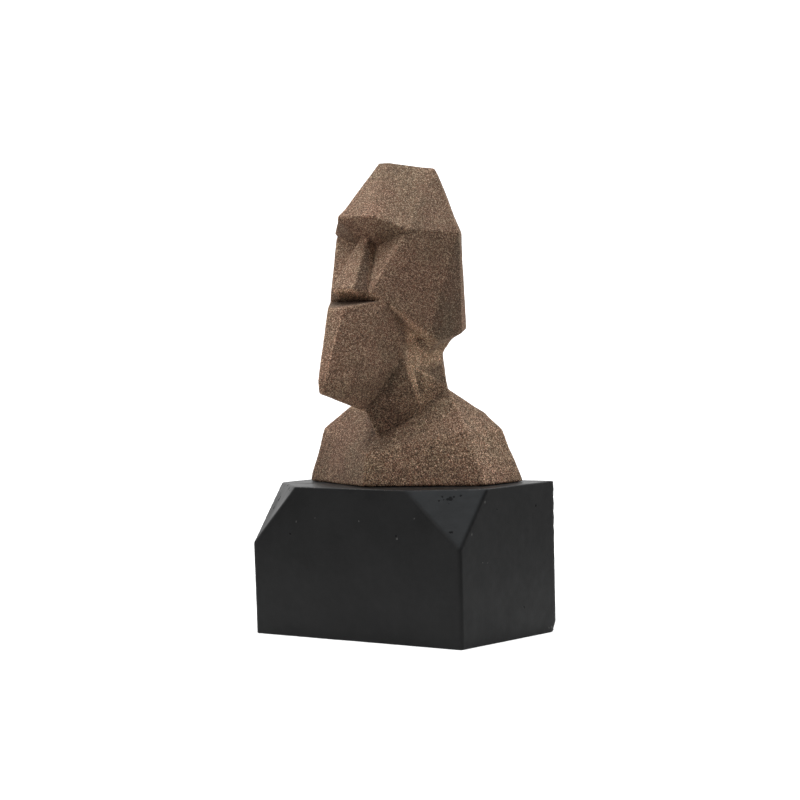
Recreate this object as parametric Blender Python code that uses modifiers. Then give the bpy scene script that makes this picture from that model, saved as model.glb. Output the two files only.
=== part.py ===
"""A faceted stone-head bust on a block plinth, in metres. +Z is up, the figure faces -Y, and the
origin is under the middle of the plinth."""

from math import radians

import bmesh
import bpy
from mathutils import Matrix, Vector

# The plinth: a cast block, a little wider at the top than at the foot.
plinth_width = 0.140
plinth_depth = 0.0815
plinth_height = 0.080
flare_side = 0.0006
flare_front = 0.0003
edge_round = 0.0009
edge_round_segments = 3
sharp_angle = radians(10)

# The two front top corners are cut away: along the front, back along the side, and down the edge.
left_cut_along = 0.0355
left_cut_back = 0.0240
left_cut_down = 0.0272
right_cut_along = 0.0315
right_cut_back = 0.0250
right_cut_down = 0.0290

# The bust stands in the middle of the plinth with a hair of clearance.
bust_height = 0.1695
seat_gap = 0.0003

flat_within = radians(0.2)
stone_colour = (0.150, 0.095, 0.068, 1)
plinth_colour = (0.011, 0.011, 0.012, 1)


def clear_scene():
    for thing in list(bpy.data.objects):
        bpy.data.objects.remove(thing, do_unlink=True)


def collection_named(name):
    group = bpy.data.collections.new(name)
    bpy.context.scene.collection.children.link(group)
    return group


def material_named(name, colour, roughness):
    material = bpy.data.materials.new(name)
    material.use_nodes = True
    shader = material.node_tree.nodes["Principled BSDF"]
    shader.inputs["Base Color"].default_value = colour
    shader.inputs["Roughness"].default_value = roughness
    shader.inputs["Metallic"].default_value = 0
    material.diffuse_color = colour
    return material


def object_from(form, name, group):
    bmesh.ops.recalc_face_normals(form, faces=form.faces)
    mesh = bpy.data.meshes.new(name)
    form.to_mesh(mesh)
    form.free()
    thing = bpy.data.objects.new(name, mesh)
    group.objects.link(thing)
    return thing


def at(out, back, up):
    """A corner of the bust in thousandths of its height: out from the middle, back, and up."""
    return Vector((out, back, up)) * (bust_height / 1000)


def beyond(start, end, share):
    """A point past the end of the line between two corners, by a share of the line."""
    return end + (end - start) * share


def carved_mass(name, corners, group):
    """The convex mass that the corners span with their mirror images."""
    form = bmesh.new()
    for corner in corners:
        form.verts.new(corner)
        if corner.x > 0:
            form.verts.new((-corner.x, corner.y, corner.z))
    hull = bmesh.ops.convex_hull(form, input=form.verts)
    left_over = set(hull["geom_interior"] + hull["geom_unused"])
    inside = [corner for corner in form.verts if corner in left_over]
    bmesh.ops.delete(form, geom=inside, context="VERTS")
    bmesh.ops.dissolve_limit(form, angle_limit=flat_within, verts=form.verts, edges=form.edges)
    return object_from(form, name, group)


def combine(thing, other, operation):
    """Cuts one mass by another, or joins it on, and keeps the other as a hidden helper."""
    step = thing.modifiers.new(other.name, "BOOLEAN")
    step.object = other
    step.operation = operation
    step.solver = "EXACT"
    other.parent = thing
    other.hide_render = True
    other.display_type = "WIRE"


def make_bust(group, helpers):
    # The top of the head: a slanting crown over a heavy brow
    crown_front = at(14, -48, 1000)
    crown_back = at(103, 77, 979)
    brow = at(64, -191, 831)
    temple = at(147, -114, 786)
    ear_top = at(213, 53, 780)
    back_top = at(177, 110, 775)
    eye_corner = at(30, -124, 738)
    crown_inside = at(112, 30, 680)

    # The face below it: long cheeks, and ears that end in a square lobe
    cheek_top = at(135, -120, 771)
    cheek_back = at(155, -88, 782)
    cheek_foot = at(74, -224, 606)
    mouth_corner = at(107, -191, 572)
    upper_lip = at(51, -215, 584)
    jaw_hinge = at(165, -35, 480)
    ear_lobe = at(169, -6, 442)
    ear_back = at(174, 106, 466)
    back_low = at(142, 171, 479)
    skull_foot = at(83, 59, 414)
    face_inside = at(60, 30, 850)

    # The eye hollows slope up from the cheeks to the underside of the brow
    eye_middle = at(0, -127, 725)
    cheek_middle = at(0, -268, 504)
    hollow_top = at(150, -130, 950)
    hollow_front = at(150, -420, 950)

    # The nose and the jaw
    nose_root = at(13, -147, 769)
    nose_tip = at(43, -260, 610)
    nose_wing = at(67, -225, 602)
    nose_inside = at(28, -118, 735)
    lip_inside = at(48, -190, 592)
    lower_lip = at(31, -292, 554)
    chin = at(11, -370, 332)
    chin_low = at(8, -369, 296)
    jaw_corner = at(71, -281, 322)
    jaw_inside = at(83, -59, 590)
    jaw_back = at(98, -88, 384)
    throat = at(0, -160, 230)

    # The neck
    neck_front = at(99, -88, 384)
    neck_side = at(112, 83, 390)
    neck_back = at(59, 118, 390)
    neck_top = at(112, 83, 500)
    nape_top = at(59, 118, 500)
    throat_inside = at(0, -248, 378)
    collar = at(0, -110, 149)
    neck_foot = at(106, -21, 225)
    neck_foot_inside = at(103, -17, 222)
    trapeze = at(151, 57, 292)
    nape = at(90, 130, 280)

    # The chest, cut straight at the foot
    breast = at(0, -168, 97)
    shoulder_front = at(284, -23, 166)
    shoulder_ridge = at(236, 130, 213)
    shoulder_back = at(296, 130, 166)
    shoulder_blade = at(150, 165, 205)
    foot_middle = at(0, -187, 0)
    foot_front = at(348, -22, 0)
    foot_side = at(348, 171, 0)
    foot_back = at(120, 200, 0)

    bust = carved_mass("bust", (
        breast, shoulder_front, shoulder_ridge, shoulder_back, shoulder_blade, trapeze, nape,
        foot_middle, foot_front, foot_side, foot_back), group)
    neck = carved_mass("neck", (
        mouth_corner, neck_top, nape_top, throat_inside, beyond(throat_inside, collar, 0.3),
        beyond(mouth_corner, neck_foot, 0.2), neck_side, neck_back, nape), helpers)
    neck_base = carved_mass("neck_base", (
        neck_front, neck_side, neck_back, trapeze, neck_foot_inside, nape), helpers)
    jaw = carved_mass("jaw", (
        lower_lip, mouth_corner, jaw_inside, chin, chin_low, jaw_corner, jaw_back, throat), helpers)
    face = carved_mass("face", (
        cheek_top, cheek_back, ear_top, back_top, back_low, ear_back, ear_lobe, jaw_hinge, mouth_corner,
        cheek_foot, upper_lip, skull_foot, face_inside), helpers)
    eye_hollows = carved_mass("eye_hollows", (
        eye_middle, beyond(eye_middle, cheek_top, 0.6), beyond(eye_middle, cheek_foot, 0.5),
        beyond(eye_middle, cheek_middle, 0.3), hollow_top, hollow_front), helpers)
    crown = carved_mass("crown", (
        crown_front, crown_back, brow, temple, ear_top, back_top, eye_corner, crown_inside), helpers)
    nose = carved_mass("nose", (
        beyond(nose_tip, nose_root, 0.2), nose_tip, nose_wing, upper_lip, nose_inside, lip_inside), helpers)

    combine(face, eye_hollows, "DIFFERENCE")
    combine(face, crown, "UNION")
    combine(face, nose, "UNION")
    combine(face, jaw, "UNION")
    combine(bust, neck, "UNION")
    combine(bust, neck_base, "UNION")
    combine(bust, face, "UNION")
    bust.location.z = plinth_height + seat_gap
    bust.data.materials.append(material_named("sandstone", stone_colour, 0.9))
    return bust


def make_plinth(group):
    form = bmesh.new()
    block = Matrix.Translation((0, 0, plinth_height / 2)) @ Matrix.Diagonal(
        (plinth_width, plinth_depth, plinth_height, 1))
    bmesh.ops.create_cube(form, size=1, matrix=block)
    for corner in form.verts:
        if corner.co.z > plinth_height / 2:
            corner.co.x += flare_side if corner.co.x > 0 else -flare_side
            corner.co.y += flare_front if corner.co.y > 0 else -flare_front

    half_width = plinth_width / 2 + flare_side
    half_depth = plinth_depth / 2 + flare_front
    for side, along, back, down in (
            (1, left_cut_along, left_cut_back, left_cut_down),
            (-1, right_cut_along, right_cut_back, right_cut_down)):
        on_front = Vector((side * (half_width - along), -half_depth, plinth_height))
        on_side = Vector((side * half_width, back - half_depth, plinth_height))
        on_edge = Vector((side * half_width, -half_depth, plinth_height - down))
        outward = (on_side - on_front).cross(on_edge - on_front)
        if outward.z < 0:
            outward.negate()
        cut = bmesh.ops.bisect_plane(
            form, geom=form.verts[:] + form.edges[:] + form.faces[:], plane_co=on_front,
            plane_no=outward, clear_outer=True)
        rim = [item for item in cut["geom_cut"] if isinstance(item, bmesh.types.BMEdge)]
        bmesh.ops.edgeloop_fill(form, edges=rim)

    plinth = object_from(form, "plinth", group)
    rounding = plinth.modifiers.new("edge", "BEVEL")
    rounding.width = edge_round
    rounding.segments = edge_round_segments
    rounding.limit_method = "ANGLE"
    rounding.angle_limit = sharp_angle
    plinth.data.materials.append(material_named("black resin", plinth_colour, 0.55))
    return plinth


def main():
    clear_scene()
    group = collection_named("stone head bust")
    helpers = collection_named("helpers")
    make_plinth(group)
    make_bust(group, helpers)


main()
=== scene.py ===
import math
from itertools import product

import bpy
import numpy as np
from mathutils import Matrix, Vector


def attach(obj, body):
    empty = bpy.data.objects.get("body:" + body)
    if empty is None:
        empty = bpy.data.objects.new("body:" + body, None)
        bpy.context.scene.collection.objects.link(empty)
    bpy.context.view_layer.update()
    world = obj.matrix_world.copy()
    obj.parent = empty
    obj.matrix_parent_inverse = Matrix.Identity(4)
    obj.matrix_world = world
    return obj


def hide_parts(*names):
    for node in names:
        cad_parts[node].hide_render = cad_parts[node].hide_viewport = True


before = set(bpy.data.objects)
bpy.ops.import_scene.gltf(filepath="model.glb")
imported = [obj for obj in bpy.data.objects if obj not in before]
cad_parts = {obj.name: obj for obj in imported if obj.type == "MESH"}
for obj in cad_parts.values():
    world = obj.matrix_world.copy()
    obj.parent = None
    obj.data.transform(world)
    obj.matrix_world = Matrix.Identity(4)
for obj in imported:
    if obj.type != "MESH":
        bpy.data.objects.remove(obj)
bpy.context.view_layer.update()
mm = 0.001
tiny = 1e-12  # keeps a division from ending in nothing


# A direction as a turn from the front towards the figure's left, and a height above the level, in degrees
def heading(turn, height):
    turn, height = math.radians(turn), math.radians(height)
    return Vector((
        math.sin(turn) * math.cos(height), -math.cos(turn) * math.cos(height), math.sin(height)))


def addObject(name, data):
    added = bpy.data.objects.new(name, data)
    bpy.context.scene.collection.objects.link(added)
    return added


# A share from 0 to 1 that starts and ends gently: its square, times three less twice the share
def gentle(share):
    return share * share * (3 - 2 * share)


# Grid surfaces around a solid: a skin is a function of the level above the floor and the way round. They
# are worked out from the solid's triangles, as three corners each.
def readTriangles(nodeName):
    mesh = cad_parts[nodeName].data
    mesh.calc_loop_triangles()
    places = np.empty(3 * len(mesh.vertices))
    mesh.vertices.foreach_get("co", places)
    corners = np.empty(3 * len(mesh.loop_triangles), dtype=np.int32)
    mesh.loop_triangles.foreach_get("vertices", corners)
    return places.reshape(-1, 3)[corners.reshape(-1, 3)]


# The cross product of two flat vectors: the first's x times the second's y, less its y times the other's x
def crossOf(first, second):
    return first[..., 0] * second[..., 1] - first[..., 1] * second[..., 0]


# Turns at even steps all the way round, from the seam at the back
def seamFirst(count):
    return math.pi / 2 + np.linspace(0, 2 * math.pi, count, endpoint=False)


# A level ray of length one for each turn: its cosine and its sine
def raysAt(turns):
    return np.stack([np.cos(turns), np.sin(turns)], axis=-1)


# Cuts every triangle at the level. From the middle of the cut a ray goes out at each turn, and its length is
# the farthest place where it crosses the cut: the cross product of an edge's two ends over that of the ray
# with the edge.
def outlineAt(triangles, level, turns):
    slack = 1e-16  # lets a ray through a corner meet at least one of its edges
    following = np.roll(triangles, -1, axis=1)
    crossing = (triangles[..., 2] > level) != (following[..., 2] > level)
    rise = np.where(crossing, following[..., 2] - triangles[..., 2], 1)
    share = ((level - triangles[..., 2]) / rise)[..., None]
    ends = (triangles + share * (following - triangles))[crossing][:, :2].reshape(-1, 2, 2)
    guess = ends.mean(axis=(0, 1))
    area = np.abs(crossOf(ends[:, 0] - guess, ends[:, 1] - guess))[:, None]
    middle = guess + (area * (ends.sum(axis=1) - 2 * guess)).sum(axis=0) / (3 * area.sum())
    start, end = ends[:, None, 0] - middle, ends[:, None, 1] - middle
    way = raysAt(turns)[None]
    side, span = crossOf(start, end), crossOf(way, end - start)
    within = (crossOf(start, way) * side > -slack) & (crossOf(way, end) * side > -slack)
    reach = np.where(within, side / np.where(np.abs(span) < tiny, tiny, span), 0).max(axis=0)
    reach = np.interp(turns, turns[reach > 0], reach[reach > 0], period=2 * math.pi)
    return middle, middle + reach[:, None] * way[0]


# Points at even steps along an outline, from the seam at the back and round to it again
def evenSteps(outline, count):
    closed = np.vstack([outline, outline[:1]])
    along = np.concatenate([[0], np.cumsum(np.linalg.norm(np.diff(closed, axis=0), axis=1))])
    wanted = np.linspace(0, along[-1], count, endpoint=False)
    return np.stack([np.interp(wanted, along, closed[:, axis]) for axis in (0, 1)], axis=-1)


# The broad faces of a solid as planes, without the narrow facets that round its edges: triangles that face
# the same way are one face, and its plane is their normal and their farthest reach along it
def broadPlanes(triangles, leastArea):
    facing = np.cross(triangles[:, 1] - triangles[:, 0], triangles[:, 2] - triangles[:, 0]) / 2
    area = np.linalg.norm(facing, axis=1)
    facing = facing / np.maximum(area, tiny * mm)[:, None]
    groups, member = np.unique(facing.round(2), axis=0, return_inverse=True)
    member = member.reshape(-1)
    planes = []
    for group in range(len(groups)):
        own = member == group
        if area[own].sum() > leastArea:
            normal = facing[own][area[own].argmax()]
            planes.append([*normal, (triangles[own] @ normal).max()])
    return np.array(planes)


# The plane through three corners: its normal is the cross product of two of their sides, and it faces up
def planeThrough(first, second, third):
    normal = np.cross(np.subtract(second, first), np.subtract(third, first))
    normal = normal / np.linalg.norm(normal) * np.sign(normal[2])
    return np.array([*normal, normal @ first])


# A ray from the middle ends at the first plane that it meets: the room left to the plane over how fast the
# ray approaches it
def outlineOfPlanes(planes, level, turns):
    slowest = 1e-6
    way = raysAt(turns)
    approach = way @ planes[:, :2].T
    room = planes[:, 3] - planes[:, 2] * level
    reach = np.where(approach > slowest, room / np.maximum(approach, slowest), np.inf).min(axis=1)
    return np.zeros(2), reach[:, None] * way


# Levels lie closer together where the outline moves fast from one to the next, as under the brow and the
# chin: they are even steps of its mean travel and of that of its fastest tenth
def spreadLevels(outline, low, high, count):
    trialLevels, trialTurns, fastest = 1500, 120, 90
    trial = np.linspace(low, high, trialLevels)
    turns = seamFirst(trialTurns)
    rings = np.array([outline(level, turns)[1] for level in trial])
    drop = trial[1] - trial[0]
    steps = np.hypot(np.linalg.norm(np.diff(rings, axis=0), axis=2), drop)
    travel = np.concatenate([[0], np.cumsum(steps.mean(axis=1) + np.percentile(steps, fastest, axis=1))])
    return np.interp(np.linspace(0, travel[-1], count), travel, trial)


# Rings on the flat end of a skin: the outline drawn in towards the middle by each share
def flatRings(ring, middle, level, shares):
    centre = np.array([*middle, level])
    return [centre + (ring * (1, 1, 0) + (0, 0, level) - centre) * share for share in shares]


# The skin's points: one outline for each level, and flat rings that shrink to the middle at both ends
def skinGrid(outline, low, high, sizes):
    levels = spreadLevels(outline, low + sizes["endStep"], high - sizes["endStep"], sizes["rows"])
    turns = seamFirst(sizes["rays"])
    rows, middles = [], []
    for level in levels:
        middle, ring = outline(level, turns)
        rows.append(np.column_stack([evenSteps(ring, sizes["columns"]), np.full(sizes["columns"], level)]))
        middles.append(middle)
    foot = flatRings(rows[0], middles[0], low, sizes["rings"])
    top = flatRings(rows[-1], middles[-1], high, sizes["rings"][::-1])
    return np.array(foot + rows + top)


# Blended places: near each named point, and its mirror image, the surface relaxes towards the mean of its
# four neighbours
def blend(grid, places, turnsOfWork):
    core = 1.6  # above 1, so that the middle of a place is blended in full
    share = np.zeros(grid.shape[:2] + (1,))
    for out, back, up, radius, strength in places:
        for side in (1, -1):
            gap = np.linalg.norm(grid - np.array([side * out, back, up]), axis=-1, keepdims=True)
            near = np.clip(core * (1 - gap / radius), 0, 1)
            share = np.maximum(share, strength * gentle(near))
    for _ in range(turnsOfWork):
        above = np.concatenate([grid[:1], grid[:-1]])
        below = np.concatenate([grid[1:], grid[-1:]])
        mean = (above + below + np.roll(grid, 1, axis=1) + np.roll(grid, -1, axis=1)) / 4
        grid = grid + share * (mean - grid)
    return grid


# Softened edges: each point moves to the mean of its neighbours, weighted by how near they are in space
def soften(grid, radius, passes):
    rows = np.arange(len(grid))
    for _ in range(passes):
        total, weight = grid.copy(), np.ones(grid.shape[:2] + (1,))
        for down, across in product(range(-2, 3), repeat=2):
            if down or across:
                near = np.roll(grid, across, axis=1)[np.clip(rows + down, 0, rows[-1])]
                gap = ((near - grid) ** 2).sum(axis=-1, keepdims=True)
                pull = np.exp(-gap / (2 * radius ** 2))
                total += pull * near
                weight += pull
        grid = total / weight
    return grid


# The way out of the skin at each point: the cross product of its steps along the row and down the column
def outwardOf(grid):
    down = np.gradient(grid, axis=0)
    across = np.roll(grid, -1, axis=1) - np.roll(grid, 1, axis=1)
    normal = np.cross(across, down)
    return normal / np.maximum(np.linalg.norm(normal, axis=-1, keepdims=True), tiny)


# Random values from 0 to 1 at the corners of a lattice, blended gently between them
def latticeNoise(points, cell, seed):
    tableSize, strides = 8192, (73, 1471, 5413)  # strides far apart, so that no row of the lattice repeats
    table = np.random.default_rng(seed).random(tableSize)
    base = np.floor(points / cell).astype(np.int64)
    part = gentle(points / cell - base)
    total = np.zeros(points.shape[:-1])
    for corner in product((0, 1), repeat=3):
        key = ((base + corner) @ strides) % tableSize
        total += table[key] * np.prod(np.where(corner, part, 1 - part), axis=-1)
    return total


# Paler edges, partly wear and partly painted highlight, and darker creases, painted shade: how far each point
# stands out of the mean of itself and the eight points around it, over a length
def standOut(grid, outward, reach, length):
    rows = np.arange(len(grid))
    around = list(product((-reach, 0, reach), repeat=2))
    mean = np.zeros_like(grid)
    for down, across in around:
        mean += np.roll(grid, across, axis=1)[np.clip(rows + down, 0, rows[-1])] / len(around)
    return np.clip(((grid - mean) * outward).sum(axis=-1) / length, -1, 1)


# Pushed places: near each named point the surface goes in by a depth, or out where the depth is negative
def pushedDepth(grid, places):
    depth = np.zeros(grid.shape[:2])
    for out, back, up, radius, amount in places:
        near = np.clip(1 - np.linalg.norm(grid - (out, back, up), axis=-1) / radius, 0, 1)
        depth += amount * gentle(near)
    return depth


# Painted light and shade of a region, as a factor on the colour: faces near one heading, inside one box with
# soft sides. A box that crosses the middle has its mirror image too.
def paintedRegionShading(grid, outward, paintedLightRegions):
    hardness = 3  # how soon a face that turns towards the heading takes the tone in full
    shade = np.ones(grid.shape[:2])
    half = np.sign(grid[..., 0] + tiny)
    mirrored, facing = grid.copy(), outward.copy()
    mirrored[..., 0], facing[..., 0] = np.abs(grid[..., 0]), outward[..., 0] * half
    for factor, turn, height, narrow, low, high, soft in paintedLightRegions:
        places, normals = (mirrored, facing) if low[0] < 0 < high[0] else (grid, outward)
        toward = normals @ np.array(heading(turn, height))
        alike = np.clip((toward - narrow) / (1 - narrow) * hardness, 0, 1)
        edge = np.minimum(places - np.array(low), np.array(high) - places).min(axis=-1)
        shade *= 1 + (factor - 1) * alike * np.clip(edge / soft, 0, 1)
    return shade


# Painted light and shade, also on edges and in creases, with some edge wear, is kept on each point. The two
# points that close a skin's ends take the mean of the rows beside them.
def storePaintedShadingAndWear(piece, shade):
    attribute = piece.data.attributes.new("tone", "FLOAT", "POINT")
    closing = (shade[0].mean(), shade[-1].mean())
    attribute.data.foreach_set("value", np.append(shade.reshape(-1), closing).astype(np.float32))


# A closed mesh from the grid: quads round each row, and a fan to one point at each end
def closedMesh(name, grid):
    rows, columns = grid.shape[:2]
    corner = np.arange(rows * columns).reshape(rows, columns)
    beside = np.roll(corner, -1, axis=1)
    quads = np.stack([corner[:-1], beside[:-1], beside[1:], corner[1:]], axis=-1).reshape(-1, 4)
    footPoint, topPoint = rows * columns, rows * columns + 1
    footFan = np.stack([beside[0], corner[0], np.full(columns, footPoint)], axis=-1)
    topFan = np.stack([corner[-1], beside[-1], np.full(columns, topPoint)], axis=-1)
    points = np.vstack([grid.reshape(-1, 3), grid[0].mean(axis=0), grid[-1].mean(axis=0)])
    mesh = bpy.data.meshes.new(name)
    mesh.from_pydata(points, [], quads.tolist() + footFan.tolist() + topFan.tolist())
    mesh.shade_smooth()
    return addObject(name, mesh)


# A colour as a socket takes it, with nothing of it see-through
def opaque(colour):
    return (*colour, 1)


# Shader maths: a wire is a socket that operators can be used on
class Wire:
    def __init__(self, graph, socket):
        self.graph, self.socket = graph, socket

    def math(self, operation, *others):
        inputs = dict(enumerate((self,) + others))
        return self.graph.add("ShaderNodeMath", {"operation": operation}, inputs).out(0)

    def __add__(self, other):
        return self.math("ADD", other)

    def __sub__(self, other):
        return self.math("SUBTRACT", other)

    def __rsub__(self, other):
        return self.math("MULTIPLY", -1).math("ADD", other)

    def __mul__(self, other):
        return self.math("MULTIPLY", other)

    __radd__ = __add__
    __rmul__ = __mul__

    # 0 before the first value, 1 past the second, and a smooth step between, whichever is the higher
    def step(self, first, second):
        node = self.graph.add(
            "ShaderNodeMapRange", {"interpolation_type": "SMOOTHSTEP"},
            {"Value": self, "From Min": first, "From Max": second, "To Min": 0, "To Max": 1})
        return node.out("Result")

    def ramp(self, stops):
        return self.graph.add("ShaderNodeValToRGB", {"stops": stops}, {"Fac": self}).out("Color")


# A node whose outputs come as wires
class Placed:
    def __init__(self, graph, node):
        self.graph, self.node = graph, node

    def out(self, name):
        return Wire(self.graph, self.node.outputs[name])


class Graph:
    def __init__(self, tree):
        self.tree = tree
        self.tree.nodes.clear()
        self.coordinates = self.add("ShaderNodeTexCoord", {}, {})
        self.place = self.coordinates.out("Object")

    # Any node: its type, its settings, which are set first, and the values or links of its sockets
    def add(self, kind, settings, sockets):
        node = self.tree.nodes.new(kind)
        for key, value in settings.items():
            if key == "stops":
                elements = node.color_ramp.elements
                while len(elements) < len(value):
                    elements.new(0.5)
                for element, (position, colour) in zip(elements, value):
                    element.position, element.color = position, opaque(colour)
            else:
                setattr(node, key, value)
        for key, value in sockets.items():
            if isinstance(value, Wire):
                self.tree.links.new(value.socket, node.inputs[key])
            else:
                node.inputs[key].default_value = value
        return Placed(self, node)

    def noise(self, scale, detail=2, roughness=0.5):
        return self.add("ShaderNodeTexNoise", {}, {
            "Vector": self.place, "Scale": scale, "Detail": detail, "Roughness": roughness}).out("Fac")

    # Cells of one size, each with three random draws: Red, Green and Blue
    def grains(self, size):
        cells = self.add("ShaderNodeTexVoronoi", {}, {"Vector": self.place, "Scale": 1 / size})
        return self.add("ShaderNodeSeparateColor", {}, {"Color": cells.out("Color")})

    # The height above the floor
    def level(self):
        return self.add("ShaderNodeSeparateXYZ", {}, {0: self.place}).out("Z")

    # Vector Math, which gives a number or a vector
    def vector(self, operation, sockets):
        node = self.add("ShaderNodeVectorMath", {"operation": operation}, sockets)
        return node.out("Value" if operation in ("DISTANCE", "DOT_PRODUCT", "LENGTH") else "Vector")

    # Where any of the places is near: 1 well inside its radius and 0 outside. The edge is ragged, because
    # each place is looked for from a point that noise has pushed up to a step away.
    def spots(self, places, ragged):
        noise = self.add("ShaderNodeTexNoise", {}, {
            "Vector": self.place, "Scale": ragged["scale"], "Detail": 1}).out("Color")
        pushed = self.vector("MULTIPLY_ADD", {0: noise, 1: (ragged["step"],) * 3, 2: self.place})
        half = ragged["step"] / 2
        outside, inside = ragged["edge"]
        mask = 0
        for out, back, up, radius in places:
            gap = self.vector("DISTANCE", {0: pushed, 1: (out + half, back + half, up + half)})
            mask = gap.step(radius * outside, radius * inside).math("MAXIMUM", mask)
        return mask

    def mix(self, share, first, second, blend="MIX"):
        return self.add(
            "ShaderNodeMix", {"data_type": "RGBA", "blend_type": blend},
            {0: share, 6: first, 7: second}).out(2)

    def bump(self, height, distance, strength):
        return self.add("ShaderNodeBump", {}, {
            "Height": height, "Distance": distance, "Strength": strength}).out("Normal")

    def principled(self, sockets):
        shader = self.add("ShaderNodeBsdfPrincipled", {}, sockets)
        self.add("ShaderNodeOutputMaterial", {}, {"Surface": shader.out("BSDF")})


def newMaterial(name):
    material = bpy.data.materials.new(name)
    material.use_nodes = True
    return material, Graph(material.node_tree)


# The bust: sand held in brown resin. Its facets are flat, its edges a little worn.

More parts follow.
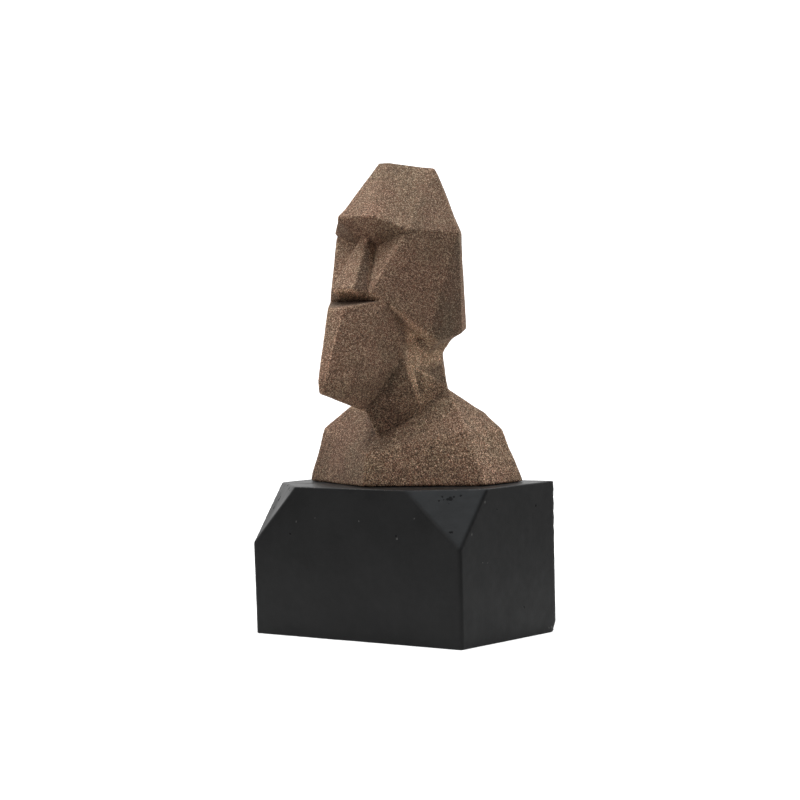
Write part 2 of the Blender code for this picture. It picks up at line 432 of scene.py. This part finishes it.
sandBust = {
    # the skin: points up and round, rays for each outline, and rings on the flat ends
    "rows": 590, "columns": 636, "rays": 2160, "endStep": 0.06 * mm,
    "rings": (0.3, 0.6, 0.8, 0.93, 0.98, 0.99),
    "edgeRadius": 0.34 * mm, "edgePasses": 2,
    "blends": (
        # out, back, up, radius, strength: the nape below each ear, and the shoulders
        (0.019, 0.013, 0.1492, 0.0098, 1.0),
        (0.018, 0.003, 0.1487, 0.0090, 1.0),
        (0.018, -0.007, 0.1500, 0.0080, 1.0),
        (0.013, 0.021, 0.1497, 0.0090, 1.0),
        (0.046, 0.022, 0.1120, 0.0070, 0.5),
    ),
    "blendTurns": 170,
    # edges are paler, partly wear and partly painted highlight, and creases darker, painted shade, by how far
    # they stand out or lie in
    "wearReach": 3, "edgeAndCreaseLength": 0.22 * mm, "edgeWearAndHighlight": 0.15, "creaseShade": 0.20,
    "paintedLightRegions": (
        # tone of painted light or shade, a factor on the colour; facing: turn, height, how alike (-3 is any
        # facing); box: low and high corner, how soft
        (0.62, 61, 27, 0.930, (0.002, -0.047, 0.177), (0.016, -0.019, 0.216), 0.0015),
        (2.20, 0, -60, 0.940, (-0.002, -0.050, 0.1789), (0.014, -0.028, 0.190), 0.0005),
        (0.40, 0, 80, 0.880, (-0.002, -0.0480, 0.169), (0.022, -0.026, 0.182), 0.0010),
        (1.50, 27, 14, 0.975, (-0.001, -0.066, 0.125), (0.010, -0.044, 0.178), 0.0015),
        (1.50, 4, -54, 0.800, (0.006, -0.034, 0.148), (0.034, 0.016, 0.176), 0.0020),
        (1.45, 16, -34, 0.930, (0.008, -0.044, 0.165), (0.022, -0.024, 0.186), 0.0020),
        (1.45, 88, -1, -3.000, (0.008, -0.018, 0.130), (0.025, 0.020, 0.166), 0.0080),
        (1.55, 88, -1, 0.920, (0.009, -0.017, 0.108), (0.0235, 0.030, 0.166), 0.0030),
        (1.42, 65, -9, 0.950, (0.009, -0.020, 0.112), (0.0235, 0.010, 0.150), 0.0030),
        (0.66, 89, -7, 0.930, (0.022, -0.012, 0.150), (0.040, 0.024, 0.216), 0.0030),
        (0.92, 88, -7, -3.000, (0.0215, -0.004, 0.148), (0.040, 0.024, 0.178), 0.0040),
        (0.92, 84, -6, 0.950, (0.008, -0.050, 0.120), (0.030, -0.014, 0.175), 0.0030),
        (0.80, 94, -34, 0.950, (-0.002, -0.050, 0.115), (0.030, 0.000, 0.150), 0.0030),
        (0.84, 71, -49, 0.930, (-0.002, -0.062, 0.112), (0.022, -0.018, 0.146), 0.0020),
        (0.67, 52, -18, 0.900, (-0.002, -0.050, 0.084), (0.022, -0.004, 0.148), 0.0015),
        (0.80, 55, -16, 0.950, (-0.002, -0.030, 0.126), (0.021, 0.000, 0.150), 0.0030),
        (0.76, 85, 23, 0.980, (0.012, 0.000, 0.112), (0.032, 0.030, 0.152), 0.0020),
        (1.16, 25, 9, 0.970, (0.000, -0.040, 0.077), (0.062, 0.000, 0.112), 0.0020),
        (0.80, -25, 9, 0.970, (-0.063, -0.040, 0.077), (0.000, 0.001, 0.113), 0.0020),
        (0.80, -16, 42, 0.950, (-0.046, -0.040, 0.090), (0.000, 0.001, 0.122), 0.0020),
        (0.76, 0, 49, 0.950, (-0.002, -0.040, 0.090), (0.010, -0.004, 0.112), 0.0020),
        (0.76, -24, -39, 0.930, (-0.022, -0.044, 0.196), (0.000, -0.012, 0.224), 0.0020),
        (1.24, 90, 19, 0.950, (0.030, -0.030, 0.079), (0.070, 0.030, 0.116), 0.0015),
        (0.87, 70, 29, 0.985, (0.010, -0.035, 0.205), (0.045, 0.040, 0.252), 0.0015),
        (0.90, 0, 40, 0.930, (-0.002, -0.040, 0.216), (0.014, 0.000, 0.252), 0.0015),
    ),
    "pushes": (
        # out, back, up, radius, depth: the nape, the crown, the brow, and the shoulders down to the foot
        (0.0195, 0.0145, 0.1540, 0.0075, -0.0019), (0.0205, 0.0130, 0.1405, 0.0110, 0.0007),
        (0.0185, 0.0140, 0.2400, 0.0120, -0.0007), (0.0237, 0.0158, 0.2290, 0.0130, -0.0006),
        (0.0290, 0.0180, 0.2140, 0.0110, -0.0004), (-0.0108, -0.0324, 0.2212, 0.0070, -0.0006),
        (0.0465, 0.0230, 0.1090, 0.0160, -0.0010), (-0.0370, 0.0030, 0.1190, 0.0160, -0.0008),
        (-0.0481, -0.0039, 0.1084, 0.0180, -0.0011), (-0.0535, -0.0037, 0.0945, 0.0150, -0.0006),
        (-0.0590, -0.0037, 0.0803, 0.0220, -0.0014), (0.0560, 0.0260, 0.0900, 0.0200, -0.0006),
    ),
    # the coat of sand on the whole, its wear along the foot, its grit, and the casting's broad unevenness
    "coat": 0.25 * mm, "footRise": 1.2 * mm, "footWear": 0.5 * mm, "footCell": 1.7 * mm,
    "gritCell": 1.1 * mm, "gritDepth": 0.13 * mm, "swellCell": 7 * mm, "swellDepth": 0.20 * mm,
    # the sand's colour: coarse and fine grains by a random draw, some of them red
    "grainSize": 0.43 * mm, "fineSize": 0.28 * mm, "fineShare": 0.5,
    "grainColours": (
        (0.15, (0.044, 0.0315, 0.026)), (0.42, (0.219, 0.1305, 0.083)),
        (0.60, (0.219, 0.1305, 0.083)), (0.88, (0.87, 0.625, 0.432)),
    ),
    "red": (0.30, 0.129, 0.078), "redDraw": (0.86, 0.92), "redShare": 0.6,
    # light and dark specks, with the least and the most contrast and the levels where they have it
    "speckSize": 0.52 * mm, "speckShare": (0.22, 1.25), "speckLevels": (0.158, 0.112),
    # a darker uneven band round the foot, painted shade at the joint: its levels, its unevenness and how dark
    # it is
    "joint": (0.0797, 0.0803), "jointNoise": (700, 2), "jointRise": 1.8 * mm, "jointShade": 0.70,
    # noise as scale, detail and roughness, and what it multiplies the colour by
    "patchNoise": (45, 3, 0.6), "patchColours": ((0.3, (0.88, 0.88, 0.88)), (0.7, (1.0, 1.0, 1.0))),
    "hueNoise": (30, 3, 0.65), "hueColours": ((0.38, (0.93, 0.97, 0.93)), (0.62, (1.0, 0.93, 0.91))),
    "roughness": 0.88, "specular": 0.25,
    "reliefOfGrains": 0.8, "reliefFine": (2600, 0.6), "reliefBroad": (500, 0.5),
    "bumpDepth": 0.30 * mm, "bumpStrength": 0.8,
}


def makeSand():
    sand = sandBust
    material, graph = newMaterial("brown sand resin")
    coarse, fine = graph.grains(sand["grainSize"]), graph.grains(sand["fineSize"])
    draw = coarse.out("Red") * (1 - sand["fineShare"]) + fine.out("Red") * sand["fineShare"]
    reddish = coarse.out("Green").step(*sand["redDraw"]) * sand["redShare"]
    colour = graph.mix(reddish, draw.ramp(sand["grainColours"]), opaque(sand["red"]))
    # painted light and shade of facets, edges and creases, with some edge wear, read from the skin
    shade = graph.add("ShaderNodeAttribute", {"attribute_name": "tone"}, {}).out("Fac")
    level = graph.level()
    least, most = sand["speckShare"]
    contrast = level.step(*sand["speckLevels"]) * (most - least) + least
    shade = shade * (1 + contrast * (graph.grains(sand["speckSize"]).out("Blue") - 0.5))
    # painted shade runs round the foot where it sits on the plinth
    joint = (level - graph.noise(*sand["jointNoise"]) * sand["jointRise"]).step(*sand["joint"])
    shade = shade * (joint * (1 - sand["jointShade"]) + sand["jointShade"])
    colour = graph.vector("SCALE", {0: colour, "Scale": shade})
    patches = graph.noise(*sand["patchNoise"]).ramp(sand["patchColours"])
    hues = graph.noise(*sand["hueNoise"]).ramp(sand["hueColours"])
    colour = graph.mix(1, graph.mix(1, colour, patches, "MULTIPLY"), hues, "MULTIPLY")
    relief = draw * sand["reliefOfGrains"]
    for scale, share in (sand["reliefFine"], sand["reliefBroad"]):
        relief = relief + graph.noise(scale) * share
    graph.principled({
        "Base Color": colour, "Roughness": sand["roughness"], "Specular IOR Level": sand["specular"],
        "Normal": graph.bump(relief, sand["bumpDepth"], sand["bumpStrength"])})
    return material


def makeBust():
    bust = sandBust
    triangles = readTriangles("bust")
    low, high = triangles.min(axis=(0, 1)), triangles.max(axis=(0, 1))
    grid = skinGrid(lambda level, turns: outlineAt(triangles, level, turns), low[2], high[2], bust)
    grid = blend(soften(grid, bust["edgeRadius"], bust["edgePasses"]), bust["blends"], bust["blendTurns"])
    outward = outwardOf(grid)
    stand = standOut(grid, outward, bust["wearReach"], bust["edgeAndCreaseLength"])
    # painted light and shade of the facets, region by region
    shade = paintedRegionShading(grid, outward, bust["paintedLightRegions"])
    # edges lighter, partly wear and partly painted highlight; creases darker, painted shade
    shade *= 1 + np.where(stand > 0, bust["edgeWearAndHighlight"], bust["creaseShade"]) * stand
    # worked out at double fineness, kept at every second row and column
    grid, outward, shade = grid[::2, ::2], outward[::2, ::2], shade[::2, ::2]
    depth = bust["gritDepth"] * (latticeNoise(grid, bust["gritCell"], seed=3) - 0.5)
    depth += bust["swellDepth"] * (latticeNoise(grid, bust["swellCell"], seed=5) - 0.5)
    depth += pushedDepth(grid, bust["pushes"]) - bust["coat"]
    foot = np.clip((low[2] + bust["footRise"] - grid[..., 2]) / bust["footRise"], 0, 1)
    depth += foot * bust["footWear"] * latticeNoise(grid, bust["footCell"], seed=7)
    piece = closedMesh("sandBust", np.clip(grid - outward * depth[..., None], low, high))
    storePaintedShadingAndWear(piece, shade)
    piece.data.materials.append(makeSand())
    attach(piece, "root")
    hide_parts("bust")
    print("bust skin:", len(piece.data.polygons), "faces")


# The plinth: black resin, matt to satin, with worn edges and a few pores

blackPlinth = {
    # the skin: points up and round, rays for each outline, and rings on the flat ends
    "rows": 400, "columns": 640, "rays": 2160, "endStep": 0.05 * mm,
    "rings": (0.15, 0.3, 0.45, 0.6, 0.7, 0.8, 0.86, 0.91, 0.94, 0.96, 0.97, 0.98, 0.985, 0.99),
    "cuts": (
        # each cut corner runs a little farther down its edge than the solid's: on the front, side and edge
        ((0.0351, -0.04105, 0.080), (0.0706, -0.01705, 0.080), (0.0706, -0.04105, 0.0498)),
        ((-0.0391, -0.04105, 0.080), (-0.0706, -0.01605, 0.080), (-0.0706, -0.04105, 0.0482)),
    ),
    "chips": (
        # out, back, up, radius, depth: the lower corner at the back is worn round
        (0.0700, 0.0407, 0.0005, 0.0045, 0.0016), (0.0700, 0.0407, 0.0040, 0.0020, 0.0004),
    ),
    "broadFace": 100 * mm * mm, "edgeRadius": 0.28 * mm, "edgePasses": 2,
    # the unevenness of the casting, fine and broad
    "wearCell": 3.5 * mm, "wearDepth": 0.10 * mm, "swellCell": 22 * mm, "swellDepth": 0.16 * mm,
    # noise as scale, detail and roughness, and where it turns from the first tone to the second
    "body": (0.0047, 0.0045, 0.0045), "pale": (0.0077, 0.0074, 0.0074),
    "cloudNoise": (28, 4, 0.6), "cloudStep": (0.35, 0.75),
    "roughness": (0.44, 0.58), "roughNoise": (60, 3), "roughStep": (0.3, 0.7), "specular": 0.26,
    # pores are painted near black, the shade inside them
    "pitShade": (0.001, 0.001, 0.001), "pitRoughness": 0.35, "pitDepth": 4,
    "speckTone": (0.055, 0.053, 0.051),
    "ragged": {"scale": 1400, "step": 0.8 * mm, "edge": (1.15, 0.75)},
    # a little sand on the top: grain, levels, which draws are sand, colour and share
    "dustSize": 0.6 * mm, "dustLevels": (0.0793, 0.0798), "dustDraw": (0.95, 0.98),
    "dustTone": (0.16, 0.125, 0.10), "dustShare": 0.6,
    "reliefFine": (900, 3), "reliefShare": 0.6, "reliefBroad": (140, 2),
    "bumpDepth": 0.12 * mm, "bumpStrength": 0.6,
    "pits": (
        # out, back, up, radius: pores in the near cut corner
        (0.0567, -0.0301, 0.0753, 0.0012), (0.0556, -0.0311, 0.0751, 0.0008),
        (0.0579, -0.0286, 0.0763, 0.0006), (0.0528, -0.0319, 0.0764, 0.0006),
        (0.0521, -0.0339, 0.0744, 0.0006), (0.0540, -0.0322, 0.0750, 0.0004),
        (0.0605, -0.0264, 0.0768, 0.0006), (0.0569, -0.0318, 0.0731, 0.0003),
        (0.0636, -0.0383, 0.0592, 0.0007), (0.0628, -0.0390, 0.0592, 0.0006),
        # in the side and the front
        (0.0703, 0.0241, 0.0680, 0.0009), (0.0703, -0.0096, 0.0690, 0.0005),
        (0.0703, 0.0123, 0.0161, 0.0006), (0.0292, -0.0409, 0.0563, 0.0007),
        (-0.0436, -0.0409, 0.0548, 0.0006),
        # in the far cut corner
        (-0.0558, -0.0280, 0.0797, 0.0010), (-0.0600, -0.0307, 0.0718, 0.0010),
        (-0.0592, -0.0300, 0.0731, 0.0007), (-0.0623, -0.0323, 0.0674, 0.0010),
        (-0.0500, -0.0336, 0.0782, 0.0008), (-0.0470, -0.0370, 0.0779, 0.0006),
    ),
    "specks": (
        # out, back, up, radius: pale specks on the front and the side
        (-0.0391, -0.0409, 0.0615, 0.0005), (-0.0258, -0.0409, 0.0640, 0.0004),
        (0.0297, -0.0408, 0.0550, 0.0007), (0.0415, -0.0409, 0.0658, 0.0005),
        (0.0044, -0.0409, 0.0632, 0.0005), (0.0703, -0.0224, 0.0427, 0.0004),
        (0.0703, -0.0183, 0.0423, 0.0003), (0.0703, -0.0311, 0.0579, 0.0007),
        (0.0703, -0.0195, 0.0733, 0.0008), (0.0703, 0.0365, 0.0029, 0.0008),
        (0.0703, 0.0341, 0.0028, 0.0006), (0.0700, 0.0385, 0.0022, 0.0009),
    ),
}


def makeBlack():
    resin = blackPlinth
    material, graph = newMaterial("black resin")
    cloud = graph.noise(*resin["cloudNoise"]).step(*resin["cloudStep"])
    colour = graph.mix(cloud, opaque(resin["body"]), opaque(resin["pale"]))
    low, high = resin["roughness"]
    rough = graph.noise(*resin["roughNoise"]).step(*resin["roughStep"]) * (high - low) + low
    pits, specks = graph.spots(resin["pits"], resin["ragged"]), graph.spots(resin["specks"], resin["ragged"])
    # pores painted near black: painted shade inside them
    colour = graph.mix(pits, colour, opaque(resin["pitShade"]))
    colour = graph.mix(specks, colour, opaque(resin["speckTone"]))
    onTop = graph.level().step(*resin["dustLevels"])
    dust = graph.grains(resin["dustSize"]).out("Red").step(*resin["dustDraw"]) * onTop
    colour = graph.mix(dust * resin["dustShare"], colour, opaque(resin["dustTone"]))
    relief = graph.noise(*resin["reliefFine"]) * resin["reliefShare"] + graph.noise(*resin["reliefBroad"])
    relief = relief - pits * resin["pitDepth"] + specks
    graph.principled({
        "Base Color": colour, "Roughness": rough + pits * resin["pitRoughness"],
        "Specular IOR Level": resin["specular"],
        "Normal": graph.bump(relief, resin["bumpDepth"], resin["bumpStrength"])})
    return material


def makePlinth():
    plinth = blackPlinth
    triangles = readTriangles("plinth")
    low, high = triangles.min(axis=(0, 1)), triangles.max(axis=(0, 1))
    cuts = [planeThrough(*corners) for corners in plinth["cuts"]]
    planes = np.vstack([broadPlanes(triangles, plinth["broadFace"]), *cuts])
    grid = skinGrid(lambda level, turns: outlineOfPlanes(planes, level, turns), low[2], high[2], plinth)
    grid = soften(grid, plinth["edgeRadius"], plinth["edgePasses"])[::2, ::2]
    outward = outwardOf(grid)
    depth = plinth["wearDepth"] * (latticeNoise(grid, plinth["wearCell"], seed=11) - 0.5)
    depth += plinth["swellDepth"] * (latticeNoise(grid, plinth["swellCell"], seed=13) - 0.5)
    depth += pushedDepth(grid, plinth["chips"])
    piece = closedMesh("blackPlinth", np.clip(grid - outward * depth[..., None], low, high))
    piece.data.materials.append(makeBlack())
    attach(piece, "root")
    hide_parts("plinth")
    print("plinth skin:", len(piece.data.polygons), "faces")


# The camera's place, its turn from the front, its dip below the level and its roll, in degrees, and its lens

cameraView = {
    "place": (0.82576, -1.01324, 0.17226), "turn": 39.1535, "dip": 2.1011, "roll": -1.5153,
    "lens": 110.55, "sensor": 36, "farthest": 50,
}


def makeCamera():
    view = cameraView
    camera = addObject("camera", bpy.data.cameras.new("camera"))
    camera.data.lens, camera.data.sensor_width = view["lens"], view["sensor"]
    camera.data.clip_end = view["farthest"]
    turned = Matrix.Rotation(math.radians(view["turn"]), 4, "Z")
    dipped = Matrix.Rotation(math.radians(90 - view["dip"]), 4, "X")
    rolled = Matrix.Rotation(math.radians(view["roll"]), 4, "Z")
    camera.matrix_world = Matrix.Translation(view["place"]) @ turned @ dipped @ rolled
    bpy.context.scene.camera = camera


# Studio: a white room that is darker on the camera's side, with a large soft light overhead

studio = {
    "floorHalf": 0.7, "floorColour": (0.84, 0.82, 0.80), "floorFade": (0.13, 0.45), "floorClear": 0.6,
    "ambient": 0.15, "backdrop": 1.5, "backdropTurn": -130, "backdropHeight": 8, "backdropEdge": (0.35, 0.85),
    "cool": (0.94, 1.0, 1.05), "plain": (1, 1, 1),
    "lamps": (
        # name, turn from the front towards the figure's left, height above the level, watts, colour
        ("above", 0, 90, 10.5, "cool"),
        ("aboveLeft", 120, 60, 4.7, "cool"),
        ("aboveFront", 30, 60, 2.0, "cool"),
        ("aboveRight", -60, 60, 6.2, "cool"),
        ("front", -25, 30, 4.8, "plain"),
        ("back", 150, 18, 4.4, "plain"),
    ),
    "lampWidth": 0.9, "lampDistance": 1.3, "aim": (0, 0, 0.15),
}


def makeLamps():
    for name, turn, height, watts, colour in studio["lamps"]:
        lamp = bpy.data.lights.new(name, "AREA")
        lamp.shape, lamp.size, lamp.energy = "DISK", studio["lampWidth"], watts
        lamp.color = studio[colour]
        holder = addObject(name, lamp)
        holder.location = Vector(studio["aim"]) + heading(turn, height) * studio["lampDistance"]
        holder.rotation_euler = (-heading(turn, height)).to_track_quat("-Z", "Y").to_euler()


# White to the camera; what lights and mirrors in the object is a white backdrop behind it, with soft edges
def makeWorld():
    world = bpy.data.worlds.new("white backdrop")
    bpy.context.scene.world = world
    world.use_nodes = True
    graph = Graph(world.node_tree)
    ahead = heading(studio["backdropTurn"], studio["backdropHeight"])
    near = graph.vector("DOT_PRODUCT", {0: graph.coordinates.out("Generated"), 1: ahead})
    glow = near.step(*studio["backdropEdge"]) * (studio["backdrop"] - studio["ambient"]) + studio["ambient"]
    strength = glow.math("MAXIMUM", graph.add("ShaderNodeLightPath", {}, {}).out("Is Camera Ray"))
    back = graph.add("ShaderNodeBackground", {}, {"Color": opaque(studio["plain"]), "Strength": strength})
    graph.add("ShaderNodeOutputWorld", {}, {"Surface": back.out("Background")})


# The floor fades out with distance, and the camera sees it faintly: mostly the shadow shows
def makeFloor():
    half = studio["floorHalf"]
    mesh = bpy.data.meshes.new("floor")
    corners = [(-half, -half, 0), (half, -half, 0), (half, half, 0), (-half, half, 0)]
    mesh.from_pydata(corners, [], [(0, 1, 2, 3)])
    floor = addObject("floor", mesh)
    material, graph = newMaterial("pale floor")
    pale = graph.add("ShaderNodeBsdfDiffuse", {}, {"Color": opaque(studio["floorColour"])}).out("BSDF")
    clear = graph.add("ShaderNodeBsdfTransparent", {}, {}).out("BSDF")
    seen = graph.add("ShaderNodeLightPath", {}, {}).out("Is Camera Ray")
    distance = graph.vector("LENGTH", {0: graph.place})
    fade = distance.step(*studio["floorFade"]).math("MAXIMUM", seen * studio["floorClear"])
    surface = graph.add("ShaderNodeMixShader", {}, {0: fade, 1: pale, 2: clear})
    graph.add("ShaderNodeOutputMaterial", {}, {"Surface": surface.out("Shader")})
    mesh.materials.append(material)


makeBust()
makePlinth()
makeFloor()
makeLamps()
makeWorld()
makeCamera()
bpy.context.scene.view_settings.view_transform = "Standard"
print("studio: camera, lamps, white room and floor")
